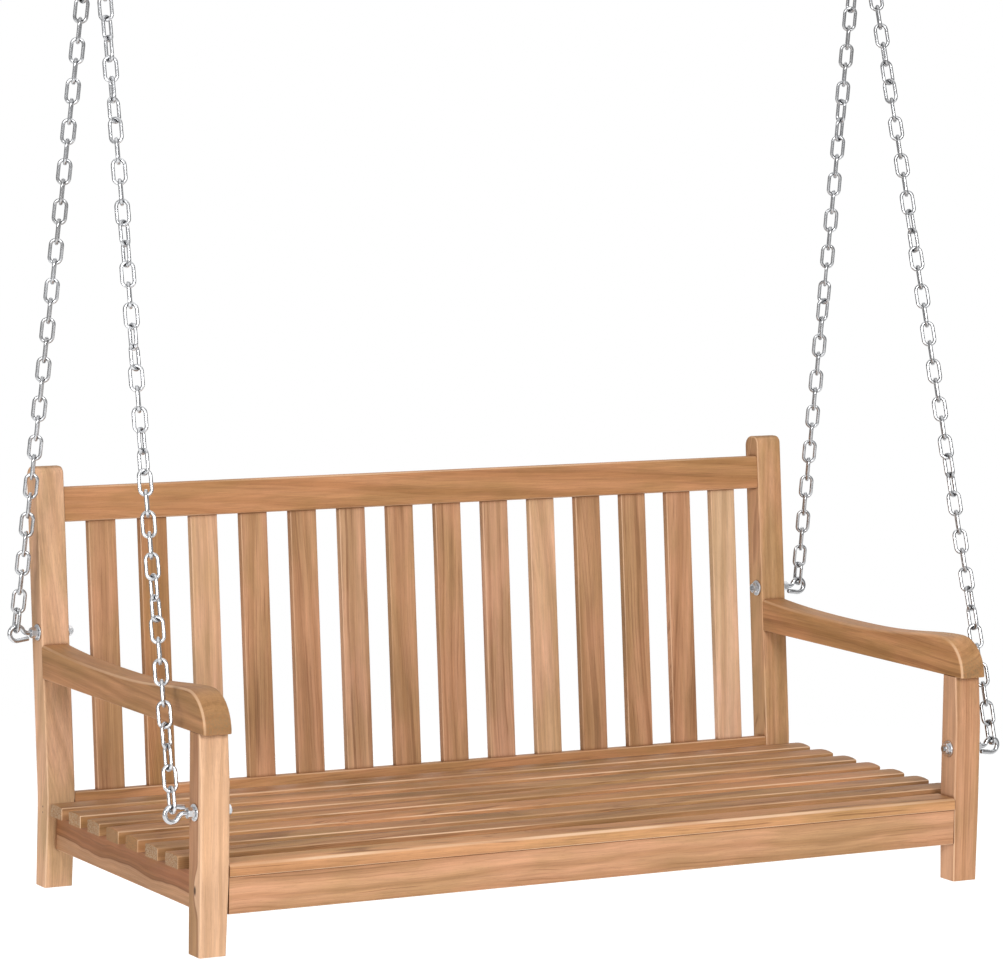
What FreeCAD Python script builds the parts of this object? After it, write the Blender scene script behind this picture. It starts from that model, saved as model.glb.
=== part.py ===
"""Hanging garden bench: a slatted teak seat on four steel chains, which meet in a ring at each side.

Millimetres. While a piece is being made, x runs from the middle of the bench to the viewer's right,
y runs back from the faces of the front posts, and z is the height above the feet. Pieces on the two
sides are made for the right (+x) side and mirrored. save() moves everything so that the origin is the
middle of the footprint at the level of the feet.
"""

import FreeCAD, Part

import math
import os

from FreeCAD import Vector

# Posts
WIDTH = 1200.0                 # over the outer faces of the four posts
POST_W = 41.0                  # post width across the bench
OUTER_X = WIDTH / 2
INNER_X = OUTER_X - POST_W
FRONT_POST_D = 36.0            # front post depth, front to back
SHOULDER_Z = 288.0             # top of the front posts, where the arms rest
HEAD_TAPER_Z = 224.0           # above this the front post's face leans back
HEAD_TAPER = 6.0
FOOT_TAPER_Z = 100.0           # below this the front post's face slopes back to its foot
FOOT_TAPER = 2.0
INNER_TAPER_Z = 112.0          # below this its inner face slopes outwards to its foot
INNER_TAPER = 3.0
POST_EASE = 2.5                # rounding of the posts' long edges
ARM_TENON_INSET = 10.0         # the tenon under the arm, inside the sides of the front post
ARM_TENON_Y = (12.0, 30.0)

# Rear posts and the reclined back
BEND_Z = 120.0                 # height at which the rear posts bend back
BACK_Y = 488.0                 # face of the rear posts at the bend
REAR_POST_D = 37.0             # rear post depth at the bend
REAR_FOOT_Y = 498.0            # face of the rear posts at the foot
REAR_FOOT_D = 32.0
REAR_TOP_D = 34.0
HEIGHT = 575.0                 # top of the rear posts
RECLINE = 5.6                  # lean of the back, degrees
BEND_R = 260.0
HEAD_FRONT_R = 11.0
HEAD_REAR_R = 15.0

# Arms
ARM_W = 40.0
ARM_END_R = 53.0               # the rounded front end is a quarter circle
ARM_END_Y = -9.0               # how far the arm stands out in front of its post
ARM_TOP = [(115.0, 336.5), (185.0, 330.5), (300.0, 327.5), (400.0, 328.5), (530.0, 336.0)]
ARM_REAR_SLOPE = 0.09          # rise of the arm's top where it meets the rear post
ARM_EASE = 5.0
ARM_UNDER_EASE = 1.25

# Back rails and slats, measured along the reclined back from the bend
BACK_RAIL_T = 24.0
RAIL_SETBACK = 2.0             # back rails behind the faces of the rear posts
TOP_RAIL_LOW = 381.5
TOP_RAIL_HIGH = 429.5
LOWER_RAIL_LOW = -26.0
LOWER_RAIL_HIGH = 11.5
TOP_RAIL_EASE = 3.5
LOWER_RAIL_EASE = 2.5
BACK_SLATS = 14
BACK_SLAT_PITCH = 77.1
BACK_SLAT_W = 41.0
BACK_SLAT_T = 12.0
BACK_SLAT_EASE = 2.0
SLAT_HOUSING = 8.0             # how far a back slat is let into each rail
TENON = 14.0                   # tenon length
TENON_SHOULDER = 5.0           # a tenon is this much smaller all round than its rail

# Seat frame
RAIL_T = 22.0                  # thickness of the apron, the side rails and the bearer
RAIL_LOW = 53.5
RAIL_EASE = 1.5
SEAT_FRAME_TOP = 104.5
APRON_TOP = 102.0
APRON_Y = 1.0                  # face of the front apron
SIDE_RAIL_INSET = 14.0         # outer faces of the side rails inside those of the posts
REAR_RAIL_Y = 496.0
REAR_RAIL_T = 28.0
REAR_RAIL_HIGH = 90.0
BEARER_LOW = 64.0
BEARER_STUB = 8.0              # how far the bearer is let into the apron and the rear rail

# Seat slats
SEAT_SLATS = 7                 # slats that run over the side rails, behind the front slat
SEAT_SLAT_PITCH = 62.0
SEAT_SLAT_W = 39.0
SEAT_SLAT_T = 18.5
SEAT_SLAT_CROWN = 2.0          # height of the rounded top over its edges
SEAT_SLAT_OVERHANG = 2.5       # beyond the posts' outer faces
SEAT_SLAT_EASE = 2.5
SEAT_SLAT_END_EASE = 1.5
LAST_SLAT_Y = 435.5            # front edge of the rearmost seat slat
FRONT_SLAT_T = 17.0
FRONT_SLAT_FRONT = -1.0
FRONT_SLAT_REAR = 43.0
FRONT_SLAT_NOSE = 6.0
FRONT_SLAT_REAR_EASE = 3.0
FRONT_SLAT_UNDER_EASE = 2.0

# Hook bolts through the posts
BOLT_R = 3.25
BOLT_HOLE_R = 3.6
BEND_START = 1.6               # a hook's bend starts this many ring radii from its centre
EYE_R = 10.0                   # mean radius of the hook's eye
EYE_TIP = 16.5                 # straight end of the wire beyond the eye
EYE_END = -98.0                # where the eye's arc ends, degrees from its outermost point
ROD_END_EASE = 0.45            # rounding of a hook's tip, as a share of the wire's radius
TIPS_UP = ("front_left",)      # hooks whose tips lie over the shank, where the others' lie under it
EYE_X = 631.5                  # middle of the eye
FRONT_BOLT = (18.0, 186.0)     # y and z of the two bolts on each side
REAR_BOLT = (524.0, 350.0)
WASHER_R = 11.2
WASHER_T = 1.8
WASHER_EASE = 0.5
NUT_FLATS = 13.0
NUT_PLAY = 0.03                # gap between a nut's bore and its bolt
NUT_CHAMFER = 0.9
OUTER_NUT_T = 9.5
INNER_NUT_T = 6.5
BOLT_END = 2.0                 # bolt left standing out of the inner nut

# Chains
LINK_WIRE_R = 2.4
LINK_INNER = 27.4              # inside length of one link
LINK_W = 20.5                  # outside width of one link
FRONT_LINKS = 44
REAR_LINKS = 37
EYE_PLAY = 2.0                 # gap between the lowest link and its eye, taken up as the bench sways
REAR_LEAD = 1.2                # the rear chains' lowest links sit this far behind their eyes
RING_PLAY = 0.6                # gap between the top link and its ring
QUARTER_TURN_LINKS = 3.4       # links over which a chain takes a quarter twist
FACING = -29.0                 # how far the run of each chain is turned about its own length, degrees
# Links at which each chain takes a quarter twist
FRONT_LEFT_TURNS = (2.5, 9.5, 16.0, 21.5, 26.5, 33.0, 36.5, 40.5)
FRONT_RIGHT_TURNS = (6.5, 13.5, 26.5, 34.5)
REAR_LEFT_TURNS = (32.4,)
REAR_RIGHT_TURNS = (15.5, 25.5, 32.4)

# Rings and ceiling hooks
RING_X = 598.0
RING_Y = 345.7
RING_Z = 1364.0
RING_R = 26.0                  # mean radius of the ring
RING_WIRE_R = 3.5
HOOK_WIRE_R = 4.0
HOOK_R = 15.0                  # mean radius of the ceiling hook's bowl
HOOK_END = -140.0              # where the bowl's arc ends, degrees
HOOK_TIP = 6.0
HOOK_PLAY = 0.3                # gap between the ring and the ceiling hook
PIVOT_Z = RING_Z + RING_R - RING_WIRE_R - HOOK_WIRE_R - HOOK_PLAY
CEILING_Z = PIVOT_Z + 62.0     # underside of the beam that the hooks are screwed into
CEILING_SHANK = 50.0           # shank above the ceiling
FLANGE_R = 16.0
FLANGE_T = 4.0
FLANGE_EASE = 1.5

# Screws and pins
SCREW_R = 2.0
SCREW_HEAD_R = 4.0
SCREW_HEAD_T = 3.0
SCREW_POINT = 6.0              # length of the point
SCREW_POINT_R = 0.3
SCREW_LENGTH = 34.0
SCREW_TIP_Z = 113.0
COUNTERBORE_R = 4.6
APRON_SCREWS = (-0.9, -0.3, 0.3, 0.9)      # as shares of half the apron's length
PIN_R = 1.3
PIN_LENGTH = 34.0
PIN_HEIGHTS = (104.0, 112.0)   # heights of the two pins through each rear post
PIN_Y = 506.0

ORIGIN_Y = 278.5               # middle of the footprint, behind the front posts' faces
X_AXIS = Vector(1, 0, 0)
Y_AXIS = Vector(0, 1, 0)
Z_AXIS = Vector(0, 0, 1)


# ---------------------------------------------------------------- general helpers

def save(name, *solids):
    """Writes one node, as one solid or as a group of separate solids."""
    shape = solids[0] if len(solids) == 1 else Part.makeCompound(list(solids))
    shape = shape.copy()
    shape.translate(Vector(0, -ORIGIN_Y, 0))
    shape.exportStep("parts/" + name + ".step")


def mirrored(shape):
    return shape.mirror(Vector(0, 0, 0), X_AXIS)


def box(x, y, z):
    """A box from three (low, high) pairs."""
    return Part.makeBox(x[1] - x[0], y[1] - y[0], z[1] - z[0], Vector(x[0], y[0], z[0]))


def prism_x(outline, x):
    """A side-view outline of (y, z) points, pushed across the bench from x[0] to x[1]."""
    corners = [Vector(x[0], y, z) for y, z in outline]
    face = Part.Face(Part.makePolygon(corners + corners[:1]))
    return face.extrude(Vector(x[1] - x[0], 0, 0))


def middle(edge):
    return edge.valueAt((edge.FirstParameter + edge.LastParameter) / 2)


def ease(shape, radius, wanted):
    """Rounds the edges that wanted(edge, middle of the edge) picks."""
    edges = [edge for edge in shape.Edges if wanted(edge, middle(edge))]
    return shape.makeFillet(radius, edges)


def along(edge, axis):
    """True for a straight edge that runs along an axis."""
    if not isinstance(edge.Curve, Part.Line):
        return False
    return abs(edge.Curve.Direction.dot(axis)) > 0.999


def upright(edge, mid):
    """True for a straight edge that stands nearly upright."""
    return isinstance(edge.Curve, Part.Line) and abs(edge.Curve.Direction.z) > 0.9


def in_side_face(edge, x):
    """True for an edge that lies in a plane across the bench at one of the places in x."""
    ends = [vertex.Point.x for vertex in edge.Vertexes] + [middle(edge).x]
    return any(all(abs(end - place) < 1e-4 for end in ends) for place in x)


def reclined(shape):
    """Leans a piece back with the rear posts, about the line where they bend."""
    shape = shape.copy()
    shape.rotate(Vector(0, BACK_Y, BEND_Z), X_AXIS, -RECLINE)
    return shape


def back_face(z):
    """y of the rear posts' faces at a height above the bend."""
    return BACK_Y + (z - BEND_Z) * math.tan(math.radians(RECLINE))


# ---------------------------------------------------------------- posts and arms

def front_post():
    """Right front post, with a short tenon on top for the arm."""
    outline = [
        (FOOT_TAPER, 0), (0, FOOT_TAPER_Z), (0, HEAD_TAPER_Z), (HEAD_TAPER, SHOULDER_Z),
        (FRONT_POST_D, SHOULDER_Z), (FRONT_POST_D, 0),
    ]
    post = prism_x(outline, (INNER_X, OUTER_X))
    waste = Part.Face(Part.makePolygon([
        Vector(INNER_X - 1, -1, 0), Vector(INNER_X + INNER_TAPER, -1, 0),
        Vector(INNER_X, -1, INNER_TAPER_Z), Vector(INNER_X - 1, -1, INNER_TAPER_Z),
        Vector(INNER_X - 1, -1, 0),
    ])).extrude(Vector(0, FRONT_POST_D + 2, 0))
    post = ease(post.cut(waste).Solids[0], POST_EASE, upright)
    sides = (INNER_X + ARM_TENON_INSET, OUTER_X - ARM_TENON_INSET)
    tenon = box(sides, ARM_TENON_Y, (SHOULDER_Z - 1, SHOULDER_Z + TENON))
    return post.fuse(tenon).removeSplitter()


def rear_post():
    """Right rear post: a short leg, then a back upright that leans back, with a rounded head."""
    head_y = back_face(HEIGHT)
    outline = [
        (REAR_FOOT_Y, 0), (BACK_Y, BEND_Z), (head_y, HEIGHT), (head_y + REAR_TOP_D, HEIGHT),
        (BACK_Y + REAR_POST_D, BEND_Z), (REAR_FOOT_Y + REAR_FOOT_D, 0),
    ]
    post = prism_x(outline, (INNER_X, OUTER_X))
    post = ease(post, BEND_R, lambda edge, mid: along(edge, X_AXIS) and abs(mid.z - BEND_Z) < 1)
    head = lambda edge, mid: along(edge, X_AXIS) and mid.z > HEIGHT - 1
    post = ease(post, HEAD_FRONT_R, lambda edge, mid: head(edge, mid) and mid.y < head_y + 5)
    post = ease(post, HEAD_REAR_R, lambda edge, mid: head(edge, mid) and mid.y > head_y + REAR_TOP_D - 5)
    return ease(post, POST_EASE, lambda edge, mid: (
        in_side_face(edge, (INNER_X, OUTER_X)) and mid.z > 1))


def arm():
    """Right arm: flat underneath, dipped along the top, and rounded over at the front."""
    inner, outer = OUTER_X - ARM_W, OUTER_X
    centre_y = ARM_END_Y + ARM_END_R
    crown_z = SHOULDER_Z + ARM_END_R
    half = ARM_END_R * math.sqrt(0.5)
    tip = Vector(inner, ARM_END_Y, SHOULDER_Z)
    crown = Vector(inner, centre_y, crown_z)
    top = Part.BSplineCurve()
    top.interpolate(
        Points=[crown] + [Vector(inner, y, z) for y, z in ARM_TOP],
        InitialTangent=Y_AXIS, FinalTangent=Vector(0, 1, ARM_REAR_SLOPE),
    )
    last_y, last_z = ARM_TOP[-1]
    heel = Vector(inner, last_y, SHOULDER_Z)
    outline = Part.Wire([
        Part.Arc(tip, Vector(inner, centre_y - half, SHOULDER_Z + half), crown).toShape(),
        top.toShape(),
        Part.makeLine(Vector(inner, last_y, last_z), heel),
        Part.makeLine(heel, tip),
    ])
    shape = Part.Face(outline).extrude(Vector(ARM_W, 0, 0))
    shape = ease(shape, ARM_EASE, lambda edge, mid: (
        in_side_face(edge, (inner, outer)) and mid.z > SHOULDER_Z + 15 and mid.y < last_y - 1))
    return ease(shape, ARM_UNDER_EASE, lambda edge, mid: (
        in_side_face(edge, (inner, outer)) and abs(mid.z - SHOULDER_Z) < 1e-4))


# ---------------------------------------------------------------- rails

def tenoned_rail(half_length, y, z, ease_radius):
    """A rail between the posts, symmetrical about the middle, with a tenon at each end."""
    rail = box((-half_length, half_length), y, z)
    rail = ease(rail, ease_radius, lambda edge, mid: along(edge, X_AXIS))
    reach = half_length + TENON
    inset = TENON_SHOULDER
    tenons = box((-reach, reach), (y[0] + inset, y[1] - inset), (z[0] + inset, z[1] - inset))
    return rail.fuse(tenons).removeSplitter()


def back_rail(low, high, ease_radius):
    face = BACK_Y + RAIL_SETBACK
    rail = tenoned_rail(INNER_X, (face, face + BACK_RAIL_T), (BEND_Z + low, BEND_Z + high), ease_radius)
    return reclined(rail)


def side_rail(rear):
    """Right side rail, its rear end cut to the slope of the rear post."""
    x_high = OUTER_X - SIDE_RAIL_INSET
    x_low = x_high - RAIL_T
    rail = box((x_low, x_high), (FRONT_POST_D, REAR_FOOT_Y + 5), (RAIL_LOW, SEAT_FRAME_TOP))
    rail = ease(rail, RAIL_EASE, lambda edge, mid: along(edge, Y_AXIS) and mid.x > x_high - 1)
    rail = rail.cut(rear).Solids[0]
    inset = TENON_SHOULDER
    tenon = box(
        (x_low + inset, x_high - inset), (FRONT_POST_D - TENON, REAR_RAIL_Y + inset),
        (RAIL_LOW + inset, REAR_RAIL_HIGH),
    )
    return rail.fuse(tenon).removeSplitter()


def centre_bearer():
    """Bearer under the middle of the seat, let a little way into the apron and the rear rail."""
    half = RAIL_T / 2
    front = APRON_Y + RAIL_T
    bearer = box((-half, half), (front, REAR_RAIL_Y), (BEARER_LOW, SEAT_FRAME_TOP))
    inset = TENON_SHOULDER
    stub = box(
        (-half + inset, half - inset), (front - BEARER_STUB, REAR_RAIL_Y + BEARER_STUB),
        (BEARER_LOW + inset, REAR_RAIL_HIGH - inset),
    )
    return bearer.fuse(stub).removeSplitter()


# ---------------------------------------------------------------- slats

def back_slat(index):
    centre = (index - (BACK_SLATS - 1) / 2) * BACK_SLAT_PITCH
    front = BACK_Y + RAIL_SETBACK + (BACK_RAIL_T - BACK_SLAT_T) / 2
    slat = box(
        (centre - BACK_SLAT_W / 2, centre + BACK_SLAT_W / 2), (front, front + BACK_SLAT_T),
        (BEND_Z + LOWER_RAIL_HIGH - SLAT_HOUSING, BEND_Z + TOP_RAIL_LOW + SLAT_HOUSING),
    )
    return reclined(ease(slat, BACK_SLAT_EASE, lambda edge, mid: along(edge, Z_AXIS)))


def seat_slat(index):
    """One of the slats that run over the side rails, with a crowned top; index 0 is the rearmost."""
    front = LAST_SLAT_Y - index * SEAT_SLAT_PITCH
    rear = front + SEAT_SLAT_W
    right = OUTER_X + SEAT_SLAT_OVERHANG
    left = -right
    top = SEAT_FRAME_TOP + SEAT_SLAT_T
    edge_z = top - SEAT_SLAT_CROWN
    corner = [Vector(left, y, z) for y, z in (
        (front, edge_z), (front, SEAT_FRAME_TOP), (rear, SEAT_FRAME_TOP), (rear, edge_z))]
    crown = Part.Arc(corner[3], Vector(left, (front + rear) / 2, top), corner[0])
    outline = Part.Wire([Part.makeLine(a, b) for a, b in zip(corner, corner[1:])] + [crown.toShape()])
    slat = Part.Face(outline).extrude(Vector(right - left, 0, 0))
    slat = ease(slat, SEAT_SLAT_EASE, lambda edge, mid: (
        along(edge, X_AXIS) and mid.z > SEAT_FRAME_TOP + 1))
    return ease(slat, SEAT_SLAT_END_EASE, lambda edge, mid: (
        in_side_face(edge, (left, right)) and mid.z > SEAT_FRAME_TOP + 1))


def front_slat():
    """Wider slat that lies on the apron between the front posts, rounded over at its front edge."""
    top = APRON_TOP + FRONT_SLAT_T
    slat = box((-INNER_X, INNER_X), (FRONT_SLAT_FRONT, FRONT_SLAT_REAR), (APRON_TOP, top))
    long_edge = lambda edge, y, z: (
        along(edge, X_AXIS) and abs(middle(edge).y - y) < 1e-4 and abs(middle(edge).z - z) < 1e-4)
    slat = ease(slat, FRONT_SLAT_NOSE, lambda edge, mid: long_edge(edge, FRONT_SLAT_FRONT, top))
    slat = ease(slat, FRONT_SLAT_REAR_EASE, lambda edge, mid: long_edge(edge, FRONT_SLAT_REAR, top))
    return ease(slat, FRONT_SLAT_UNDER_EASE, lambda edge, mid: long_edge(edge, FRONT_SLAT_FRONT, APRON_TOP))


# ---------------------------------------------------------------- fixings

def hooked_rod(wire_r, ring_r, shank, end_angle, tip):
    """A rod with its end turned into a hook, in the xz plane, the hook's centre at the origin.

    The shank comes in along the x axis from -x. A short bend carries it on to the hook's circle, which
    runs over the top and round the far end and back under the axis, as far as end_angle. A straight tip
    follows.
    """
    start_x = BEND_START * ring_r
    bend_r = (start_x ** 2 - ring_r ** 2) / (2 * ring_r)
    share = ring_r / (bend_r + ring_r)
    start = Vector(-start_x, 0, 0)
    meet = Vector(-start_x * share, 0, bend_r * share)
    half_turn = math.atan2(start_x, bend_r) / 2
    half = Vector(-start_x + bend_r * math.sin(half_turn), 0, bend_r * (1 - math.cos(half_turn)))
    end = Vector(ring_r * math.cos(end_angle), 0, ring_r * math.sin(end_angle))
    tip_end = end + Vector(math.sin(end_angle), 0, -math.cos(end_angle)) * tip
    tail = start - Vector(shank, 0, 0)
    path = Part.Wire([
        Part.makeLine(tail, start),
        Part.Arc(start, half, meet).toShape(),
        Part.Arc(meet, Vector(ring_r, 0, 0), end).toShape(),
        Part.makeLine(end, tip_end),
    ])
    rod = path.makePipeShell([Part.Wire(Part.makeCircle(wire_r, tail, X_AXIS))], True, True)
    tip_edges = [edge for edge in rod.Edges
                 if len(edge.Vertexes) == 1 and abs(middle(edge).distanceToPoint(tip_end) - wire_r) < 1e-3]
    return rod.makeFillet(wire_r * ROD_END_EASE, tip_edges)


def hook_bolt(y, z, tip_up):
    """Right-hand hook bolt, its eye standing out beyond the post and its tip under or over the shank."""
    inner_end = INNER_X - WASHER_T - INNER_NUT_T - BOLT_END
    shank = EYE_X - BEND_START * EYE_R - inner_end
    bolt = hooked_rod(BOLT_R, EYE_R, shank, math.radians(EYE_END), EYE_TIP)
    bolt.rotate(Vector(0, 0, 0), X_AXIS, 180 if tip_up else 0)
    bolt.translate(Vector(EYE_X, y, z))
    return bolt


def ceiling_hook():
    """Right ceiling hook: a bowl for the ring, a flange against the ceiling and a plain shank above."""
    shank = CEILING_Z + CEILING_SHANK - (PIVOT_Z + HOOK_R) - BEND_START * HOOK_R
    hook = hooked_rod(HOOK_WIRE_R, HOOK_R, shank, math.radians(HOOK_END), HOOK_TIP)
    hook.rotate(Vector(0, 0, 0), Y_AXIS, 90)
    hook.translate(Vector(RING_X, RING_Y, PIVOT_Z + HOOK_R))
    flange = Part.makeCylinder(FLANGE_R, FLANGE_T, Vector(RING_X, RING_Y, CEILING_Z - FLANGE_T), Z_AXIS)
    flange = flange.makeFillet(FLANGE_EASE, [edge for edge in flange.Edges
                                     if len(edge.Vertexes) == 1 and middle(edge).z < CEILING_Z - 1])
    return hook.fuse(flange).removeSplitter()


def washer(x, y, z):
    disc = Part.makeCylinder(WASHER_R, WASHER_T, Vector(x, y, z), X_AXIS)
    disc = disc.makeFillet(WASHER_EASE, [edge for edge in disc.Edges if len(edge.Vertexes) == 1])
    return disc.cut(Part.makeCylinder(BOLT_HOLE_R, WASHER_T, Vector(x, y, z), X_AXIS))


def nut(x, y, z, thickness):
    """A hexagon nut with its corners turned off."""
    corner_r = NUT_FLATS / math.sqrt(3)
    corners = [Vector(x, y + corner_r * math.cos(turn), z + corner_r * math.sin(turn))
               for turn in (math.radians(60 * side + 30) for side in range(7))]
    hexagon = Part.Face(Part.makePolygon(corners)).extrude(Vector(thickness, 0, 0))
    turned = Part.makeCylinder(corner_r, thickness, Vector(x, y, z), X_AXIS)
    turned = turned.makeChamfer(NUT_CHAMFER, [edge for edge in turned.Edges if len(edge.Vertexes) == 1])
    bore = Part.makeCylinder(BOLT_R + NUT_PLAY, thickness, Vector(x, y, z), X_AXIS)
    return hexagon.common(turned).cut(bore).Solids[0]


def slat_screw(x, y):
    """A countersunk screw driven up through a rail into a seat slat."""
    head_z = SCREW_TIP_Z - SCREW_LENGTH
    head = Part.makeCone(SCREW_HEAD_R, SCREW_R, SCREW_HEAD_T, Vector(x, y, head_z), Z_AXIS)
    shank = Part.makeCylinder(SCREW_R, SCREW_LENGTH - SCREW_POINT, Vector(x, y, head_z), Z_AXIS)
    point = Part.makeCone(
        SCREW_R, SCREW_POINT_R, SCREW_POINT, Vector(x, y, SCREW_TIP_Z - SCREW_POINT), Z_AXIS)
    return head.fuse([shank, point]).removeSplitter()


def counterbore(x, y, low):
    return Part.makeCylinder(COUNTERBORE_R, SCREW_TIP_Z - SCREW_LENGTH - low, Vector(x, y, low), Z_AXIS)


# ---------------------------------------------------------------- chains

def link():
    """One welded link, upright in the yz plane, its middle at the origin."""
    leg_y = LINK_W / 2 - LINK_WIRE_R
    end_z = LINK_INNER / 2 + LINK_WIRE_R - leg_y
    left, right = Vector(0, -leg_y, 0), Vector(0, leg_y, 0)
    up = Vector(0, 0, end_z)
    crest = Vector(0, 0, end_z + leg_y)
    path = Part.Wire([
        Part.makeLine(right - up, right + up),
        Part.Arc(right + up, crest, left + up).toShape(),
        Part.makeLine(left + up, left - up),
        Part.Arc(left - up, crest * -1, right - up).toShape(),
    ])
    profile = Part.Wire(Part.makeCircle(LINK_WIRE_R, right - up, Z_AXIS))
    return path.makePipeShell([profile], True, True)


def chain_ends(bolt, lead):
    """Middle of the lowest link's bottom wire, and of the top link's top wire, on the right side."""
    ring = Vector(RING_X, RING_Y, RING_Z)
    eye_top = Vector(EYE_X, bolt[0] + lead, bolt[1] + EYE_R)
    run = (ring - eye_top).normalize()
    low = eye_top - run * (BOLT_R + LINK_WIRE_R + EYE_PLAY)
    high = ring - run * (RING_R - RING_WIRE_R - LINK_WIRE_R - RING_PLAY)
    return low, high


def twist(number, count, turns):
    """Turn of one link about the chain, in degrees, besides its alternate quarter turns.

    The chain's end links sit square to the eye and the ring, and the rest are turned by FACING. It takes
    a quarter twist, one way and then the other, at each of the places in turns.
    """
    angle = FACING * min(1.0, number / 2, (count - 1 - number) / 2)
    for order, place in enumerate(turns):
        share = min(1.0, max(0.0, (number - place) / QUARTER_TURN_LINKS + 0.5))
        angle += 90.0 * share * (1 if order % 2 == 0 else -1)
    return angle


def chain(low, high, count, turns):
    """Evenly spaced links from low to high, each a quarter turn on from the last."""
    one = link()
    run = high - low
    length = run.Length
    run.normalize()
    first = LINK_INNER / 2 + LINK_WIRE_R
    spacing = (length - 2 * first) / (count - 1)
    lean = FreeCAD.Rotation(Z_AXIS, run)
    links = []
    for number in range(count):
        spin = FreeCAD.Rotation(Z_AXIS, 90.0 * number + twist(number, count, turns))
        piece = one.copy()
        piece.Placement = FreeCAD.Placement(low + run * (first + spacing * number), lean.multiply(spin))
        links.append(piece)
    return links


# ---------------------------------------------------------------- the bench

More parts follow.
